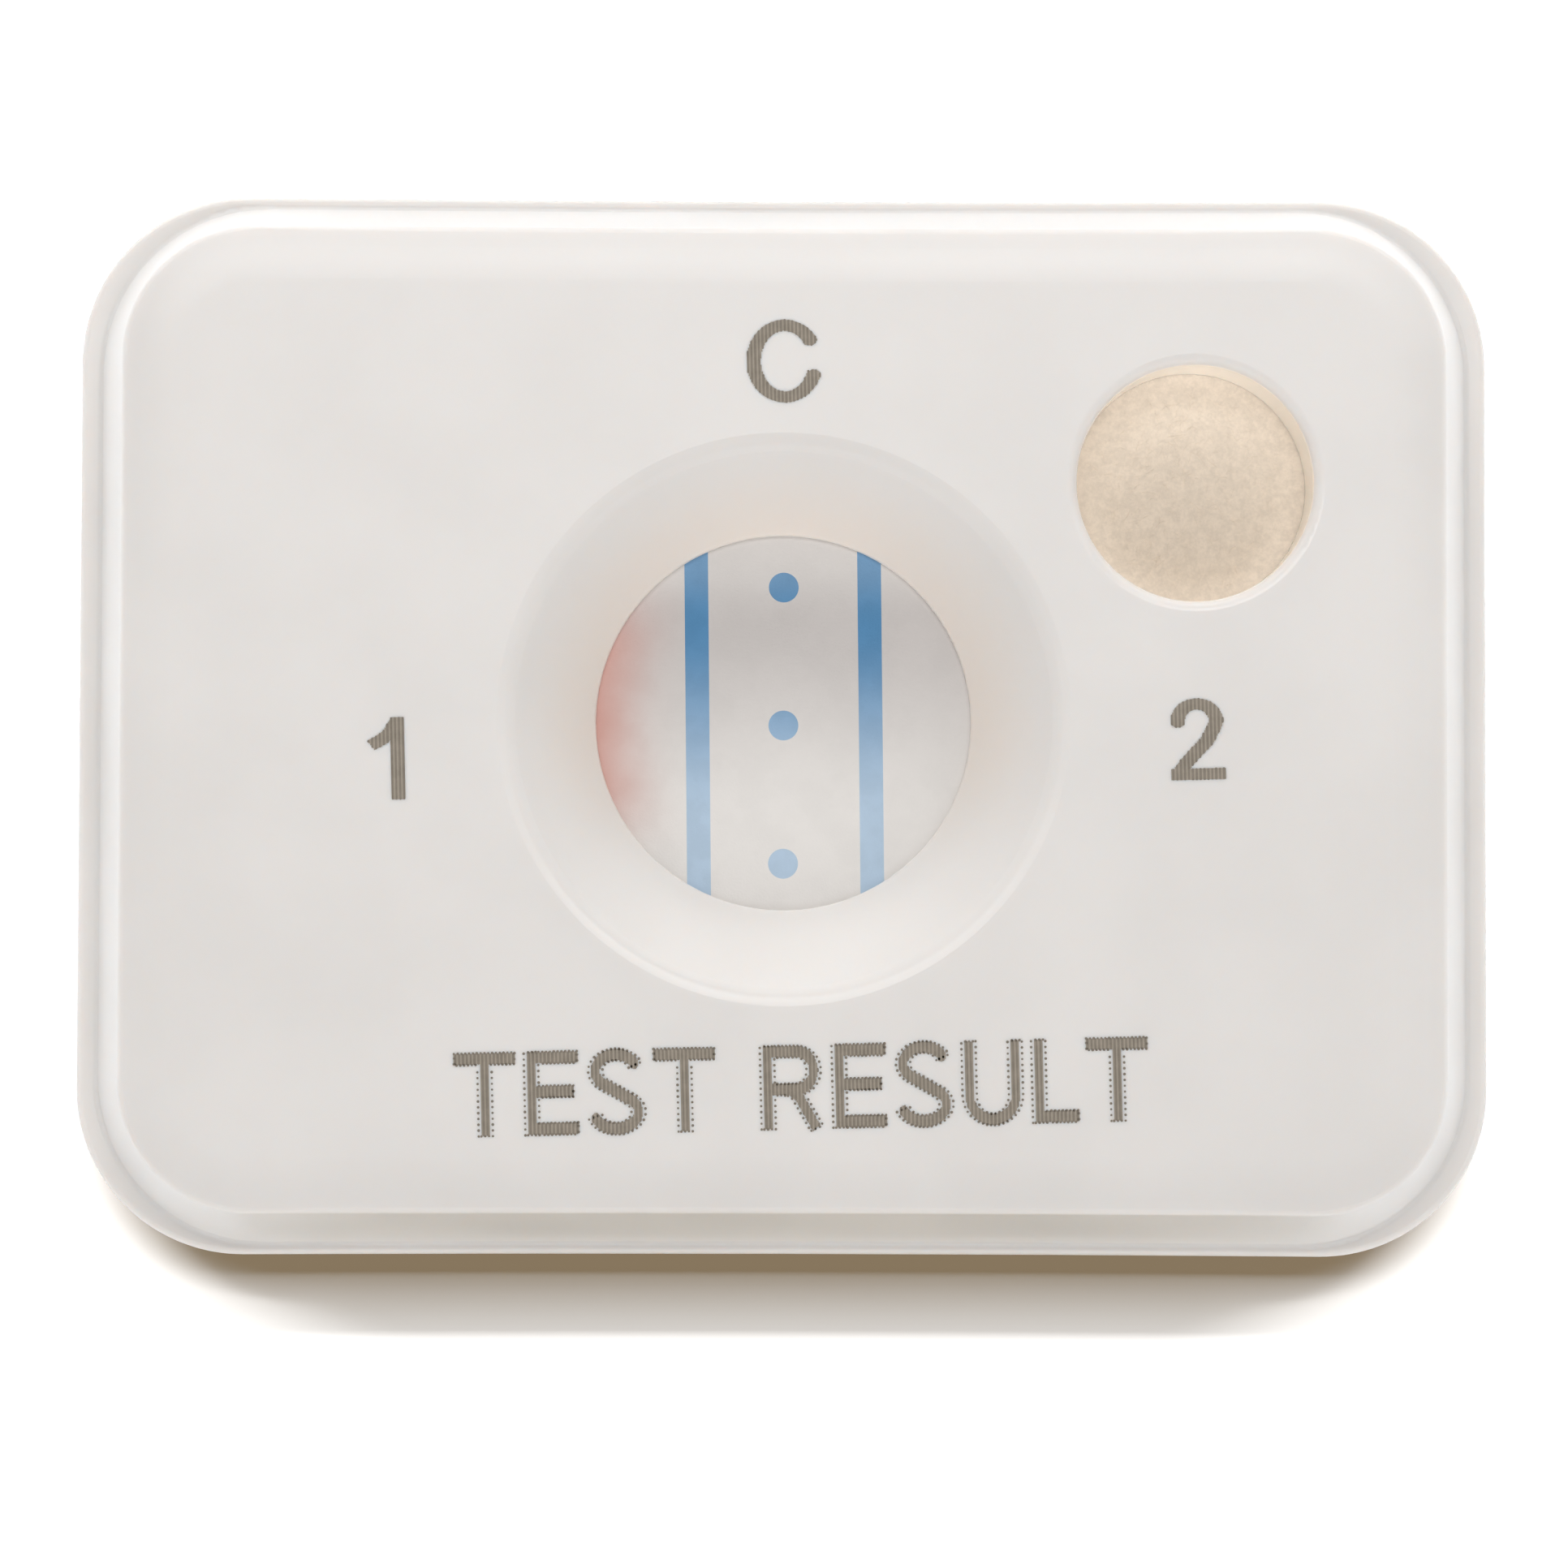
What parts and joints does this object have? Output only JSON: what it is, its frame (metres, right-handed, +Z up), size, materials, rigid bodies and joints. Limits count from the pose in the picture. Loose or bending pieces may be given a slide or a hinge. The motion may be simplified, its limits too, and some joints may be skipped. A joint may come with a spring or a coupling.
{
  "type": "lateral flow test cassette",
  "caption": "Flat two-shell plastic test cassette with a funnel-shaped reaction window over a lined membrane and a round sample well over a wicking pad.",
  "frame": {"origin": "middle of the underside, on the surface that the cassette rests on", "axes": "+X along the case towards the end with the sample well, +Y across it towards the control mark, +Z up out of the printed face"},
  "size_m": [0.06, 0.045, 0.009],
  "materials": {
    "case_plastic": "satin moulded white polystyrene, slightly translucent",
    "card_plastic": "plain white film",
    "membrane": "dull white porous membrane",
    "reagent_blue": "blue stain soaked into the membrane",
    "wicking_fibre": "cream glass-fibre pad",
    "absorbent_fibre": "white cellulose pad"
  },
  "bodies": {
    "root": {"upper_shell": "case_plastic", "lower_shell": "case_plastic", "backing_card": "card_plastic", "test_membrane": "membrane", "test_line_1": "reagent_blue", "test_line_2": "reagent_blue", "control_dots": "reagent_blue", "sample_pad": "wicking_fibre", "absorbent_pad": "absorbent_fibre"}
  },
  "joints": []
}
